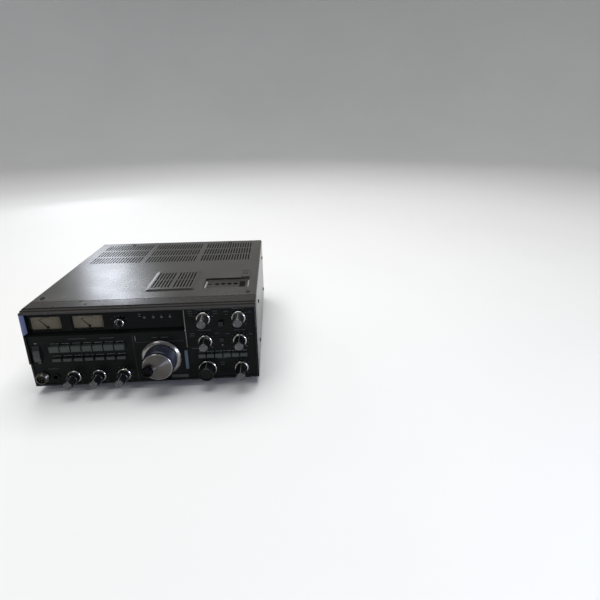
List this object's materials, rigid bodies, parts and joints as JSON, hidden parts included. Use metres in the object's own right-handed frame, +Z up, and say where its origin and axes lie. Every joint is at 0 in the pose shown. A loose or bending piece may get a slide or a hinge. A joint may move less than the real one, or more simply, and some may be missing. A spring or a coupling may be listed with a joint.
{
  "type": "amateur radio transceiver",
  "caption": "Desktop amateur radio transceiver in a flat grey case with a large tuning dial, two meters, key rows, knobs and a slotted cover.",
  "frame": {"origin": "centre of the footprint, on the surface that the feet stand on", "axes": "+Z up; the front panel faces -Y, so +Y runs from the front to the rear; +X is to the right of someone facing the front"},
  "size_m": [0.3372, 0.376, 0.1385],
  "materials": {
    "bezel_plastic": "fine grained grey moulding",
    "panel_black": "satin black with a green cast",
    "smoked_window": "smoked acrylic",
    "meter_box": "cream scale plates in pale boxes",
    "needle_black": "matte black",
    "key_grey": "fine matte grey",
    "key_dark": "fine matte dark grey",
    "knob_black": "satin black with bright skirts and caps",
    "dial_metal": "turned, with a dark face",
    "grip_rubber": "fine ribbed",
    "spinner_plastic": "satin",
    "connector_metal": "nickel plated",
    "cover_paint": "fine textured grey-brown enamel",
    "zinc_plate": "zinc plated sheet",
    "well_plastic": "grey moulding",
    "fin_black": "black anodised",
    "speaker_black": "black enamel",
    "core_steel": "varnished laminations",
    "board_green": "solder mask, with plated cans",
    "foot_rubber": "matte",
    "screw_steel": "dark plated"
  },
  "bodies": {
    "cabinet": {"front_bezel": "bezel_plastic", "front_panel": "panel_black", "display_window": "smoked_window", "meter_housings": "meter_box", "chassis": "zinc_plate", "top_cover": "cover_paint", "bottom_cover": "cover_paint", "rear_panel": "zinc_plate", "heat_sink": "fin_black", "speaker": "speaker_black", "power_transformer": "core_steel", "circuit_boards": "board_green", "control_bank": "board_green", "mic_connector": "connector_metal", "phones_jack": "connector_metal", "rear_sockets": "connector_metal", "control_well": "well_plastic", "feet": "foot_rubber", "screws": "screw_steel"},
    "upper_key_1": {"upper_key_1": "key_grey"},
    "upper_key_2": {"upper_key_2": "key_grey"},
    "upper_key_3": {"upper_key_3": "key_grey"},
    "upper_key_4": {"upper_key_4": "key_grey"},
    "upper_key_5": {"upper_key_5": "key_grey"},
    "upper_key_6": {"upper_key_6": "key_grey"},
    "upper_key_7": {"upper_key_7": "key_grey"},
    "lower_key_1": {"lower_key_1": "key_grey"},
    "lower_key_2": {"lower_key_2": "key_grey"},
    "lower_key_3": {"lower_key_3": "key_grey"},
    "lower_key_4": {"lower_key_4": "key_grey"},
    "lower_key_5": {"lower_key_5": "key_grey"},
    "lower_key_6": {"lower_key_6": "key_grey"},
    "lower_key_7": {"lower_key_7": "key_grey"},
    "band_key_1": {"band_key_1": "key_dark"},
    "band_key_2": {"band_key_2": "key_dark"},
    "band_key_3": {"band_key_3": "key_dark"},
    "band_key_4": {"band_key_4": "key_dark"},
    "band_key_5": {"band_key_5": "key_dark"},
    "band_key_6": {"band_key_6": "key_dark"},
    "call_key": {"call_key": "key_dark"},
    "power_rocker": {"power_rocker": "key_grey"},
    "volume_knob": {"volume_knob": "knob_black"},
    "rf_gain_ring": {"rf_gain_ring": "knob_black"},
    "squelch_knob": {"squelch_knob": "knob_black"},
    "tone_ring": {"tone_ring": "knob_black"},
    "mic_gain_knob": {"mic_gain_knob": "knob_black"},
    "carrier_ring": {"carrier_ring": "knob_black"},
    "mode_knob": {"mode_knob": "knob_black"},
    "shift_knob": {"shift_knob": "knob_black"},
    "clarifier_knob": {"clarifier_knob": "knob_black"},
    "blanker_knob": {"blanker_knob": "knob_black"},
    "offset_knob": {"offset_knob": "knob_black"},
    "channel_knob": {"channel_knob": "knob_black"},
    "meter_selector_knob": {"meter_selector_knob": "knob_black"},
    "tuning_dial": {"tuning_knob": "dial_metal", "tuning_grip": "grip_rubber"},
    "finger_spinner": {"finger_spinner": "spinner_plastic"},
    "hatch_lid": {"hatch_lid": "cover_paint"},
    "signal_meter_needle": {"signal_meter_needle": "needle_black"},
    "tuning_meter_needle": {"tuning_meter_needle": "needle_black"}
  },
  "joints": [
    {"name": "upper_key_1_press", "type": "slide", "parent": "cabinet", "child": "upper_key_1", "axis": [0, 1, 0], "range_m": [0, 0.002], "stiffness_N_per_m": 600},
    {"name": "upper_key_2_press", "type": "slide", "parent": "cabinet", "child": "upper_key_2", "axis": [0, 1, 0], "range_m": [0, 0.002], "stiffness_N_per_m": 600},
    {"name": "upper_key_3_press", "type": "slide", "parent": "cabinet", "child": "upper_key_3", "axis": [0, 1, 0], "range_m": [0, 0.002], "stiffness_N_per_m": 600},
    {"name": "upper_key_4_press", "type": "slide", "parent": "cabinet", "child": "upper_key_4", "axis": [0, 1, 0], "range_m": [0, 0.002], "stiffness_N_per_m": 600},
    {"name": "upper_key_5_press", "type": "slide", "parent": "cabinet", "child": "upper_key_5", "axis": [0, 1, 0], "range_m": [0, 0.002], "stiffness_N_per_m": 600},
    {"name": "upper_key_6_press", "type": "slide", "parent": "cabinet", "child": "upper_key_6", "axis": [0, 1, 0], "range_m": [0, 0.002], "stiffness_N_per_m": 600},
    {"name": "upper_key_7_press", "type": "slide", "parent": "cabinet", "child": "upper_key_7", "axis": [0, 1, 0], "range_m": [0, 0.002], "stiffness_N_per_m": 600},
    {"name": "lower_key_1_press", "type": "slide", "parent": "cabinet", "child": "lower_key_1", "axis": [0, 1, 0], "range_m": [0, 0.0018], "stiffness_N_per_m": 600},
    {"name": "lower_key_2_press", "type": "slide", "parent": "cabinet", "child": "lower_key_2", "axis": [0, 1, 0], "range_m": [0, 0.0018], "stiffness_N_per_m": 600},
    {"name": "lower_key_3_press", "type": "slide", "parent": "cabinet", "child": "lower_key_3", "axis": [0, 1, 0], "range_m": [0, 0.0018], "stiffness_N_per_m": 600},
    {"name": "lower_key_4_press", "type": "slide", "parent": "cabinet", "child": "lower_key_4", "axis": [0, 1, 0], "range_m": [0, 0.0018], "stiffness_N_per_m": 600},
    {"name": "lower_key_5_press", "type": "slide", "parent": "cabinet", "child": "lower_key_5", "axis": [0, 1, 0], "range_m": [0, 0.0018], "stiffness_N_per_m": 600},
    {"name": "lower_key_6_press", "type": "slide", "parent": "cabinet", "child": "lower_key_6", "axis": [0, 1, 0], "range_m": [0, 0.0018], "stiffness_N_per_m": 600},
    {"name": "lower_key_7_press", "type": "slide", "parent": "cabinet", "child": "lower_key_7", "axis": [0, 1, 0], "range_m": [0, 0.0018], "stiffness_N_per_m": 600},
    {"name": "band_key_1_press", "type": "slide", "parent": "cabinet", "child": "band_key_1", "axis": [0, 1, 0], "range_m": [0, 0.0018], "stiffness_N_per_m": 600},
    {"name": "band_key_2_press", "type": "slide", "parent": "cabinet", "child": "band_key_2", "axis": [0, 1, 0], "range_m": [0, 0.0018], "stiffness_N_per_m": 600},
    {"name": "band_key_3_press", "type": "slide", "parent": "cabinet", "child": "band_key_3", "axis": [0, 1, 0], "range_m": [0, 0.0018], "stiffness_N_per_m": 600},
    {"name": "band_key_4_press", "type": "slide", "parent": "cabinet", "child": "band_key_4", "axis": [0, 1, 0], "range_m": [0, 0.0018], "stiffness_N_per_m": 600},
    {"name": "band_key_5_press", "type": "slide", "parent": "cabinet", "child": "band_key_5", "axis": [0, 1, 0], "range_m": [0, 0.0018], "stiffness_N_per_m": 600},
    {"name": "band_key_6_press", "type": "slide", "parent": "cabinet", "child": "band_key_6", "axis": [0, 1, 0], "range_m": [0, 0.0018], "stiffness_N_per_m": 600},
    {"name": "call_key_press", "type": "slide", "parent": "cabinet", "child": "call_key", "axis": [0, 1, 0], "range_m": [0, 0.0015], "stiffness_N_per_m": 600},
    {"name": "power_rocker_tilt", "type": "hinge", "parent": "cabinet", "child": "power_rocker", "pos_m": [-0.1539, -0.14755, 0.0666], "axis": [1, 0, 0], "range_deg": [0, 13]},
    {"name": "volume_knob_turn", "type": "hinge", "parent": "cabinet", "child": "volume_knob", "pos_m": [-0.1081, -0.15605, 0.0266], "axis": [0, 1, 0], "range_deg": [-140, 140]},
    {"name": "rf_gain_ring_turn", "type": "hinge", "parent": "cabinet", "child": "rf_gain_ring", "pos_m": [-0.1081, -0.15605, 0.0266], "axis": [0, 1, 0], "range_deg": [-140, 140]},
    {"name": "squelch_knob_turn", "type": "hinge", "parent": "cabinet", "child": "squelch_knob", "pos_m": [-0.0715, -0.15605, 0.0266], "axis": [0, 1, 0], "range_deg": [-140, 140]},
    {"name": "tone_ring_turn", "type": "hinge", "parent": "cabinet", "child": "tone_ring", "pos_m": [-0.0715, -0.15605, 0.0266], "axis": [0, 1, 0], "range_deg": [-140, 140]},
    {"name": "mic_gain_knob_turn", "type": "hinge", "parent": "cabinet", "child": "mic_gain_knob", "pos_m": [-0.0349, -0.15605, 0.0266], "axis": [0, 1, 0], "range_deg": [-140, 140]},
    {"name": "carrier_ring_turn", "type": "hinge", "parent": "cabinet", "child": "carrier_ring", "pos_m": [-0.0349, -0.15605, 0.0266], "axis": [0, 1, 0], "range_deg": [-140, 140]},
    {"name": "mode_knob_turn", "type": "hinge", "parent": "cabinet", "child": "mode_knob", "pos_m": [0.09, -0.15605, 0.1144], "axis": [0, 1, 0], "range_deg": [-75, 75]},
    {"name": "shift_knob_turn", "type": "hinge", "parent": "cabinet", "child": "shift_knob", "pos_m": [0.141, -0.15605, 0.1144], "axis": [0, 1, 0], "range_deg": [-140, 140]},
    {"name": "clarifier_knob_turn", "type": "hinge", "parent": "cabinet", "child": "clarifier_knob", "pos_m": [0.09, -0.15605, 0.077], "axis": [0, 1, 0], "range_deg": [-140, 140]},
    {"name": "blanker_knob_turn", "type": "hinge", "parent": "cabinet", "child": "blanker_knob", "pos_m": [0.141, -0.15605, 0.077], "axis": [0, 1, 0], "range_deg": [-140, 140]},
    {"name": "offset_knob_turn", "type": "hinge", "parent": "cabinet", "child": "offset_knob", "pos_m": [0.141, -0.15605, 0.0304], "axis": [0, 1, 0], "range_deg": [-140, 140]},
    {"name": "channel_knob_turn", "type": "hinge", "parent": "cabinet", "child": "channel_knob", "pos_m": [0.09, -0.15605, 0.0304], "axis": [0, 1, 0], "continuous": true},
    {"name": "meter_selector_knob_turn", "type": "hinge", "parent": "cabinet", "child": "meter_selector_knob", "pos_m": [-0.0324, -0.14905, 0.1094], "axis": [0, 1, 0], "range_deg": [-60, 60]},
    {"name": "tuning_dial_turn", "type": "hinge", "parent": "cabinet", "child": "tuning_dial", "pos_m": [0.0231, -0.15605, 0.0518], "axis": [0, 1, 0], "continuous": true},
    {"name": "finger_spinner_turn", "type": "hinge", "parent": "tuning_dial", "child": "finger_spinner", "pos_m": [0.0095, -0.18155, 0.0472], "axis": [0, 1, 0], "continuous": true},
    {"name": "hatch_lid_slide", "type": "slide", "parent": "cabinet", "child": "hatch_lid", "axis": [0, -1, 0], "range_m": [0, 0.042]},
    {"name": "signal_meter_needle_swing", "type": "hinge", "parent": "cabinet", "child": "signal_meter_needle", "pos_m": [-0.1379, -0.14375, 0.1028], "axis": [0, 1, 0], "range_deg": [0, 80], "stiffness_Nm_per_rad": 0.00008},
    {"name": "tuning_meter_needle_swing", "type": "hinge", "parent": "cabinet", "child": "tuning_meter_needle", "pos_m": [-0.078, -0.14375, 0.1028], "axis": [0, 1, 0], "range_deg": [0, 80], "stiffness_Nm_per_rad": 0.00008}
  ]
}
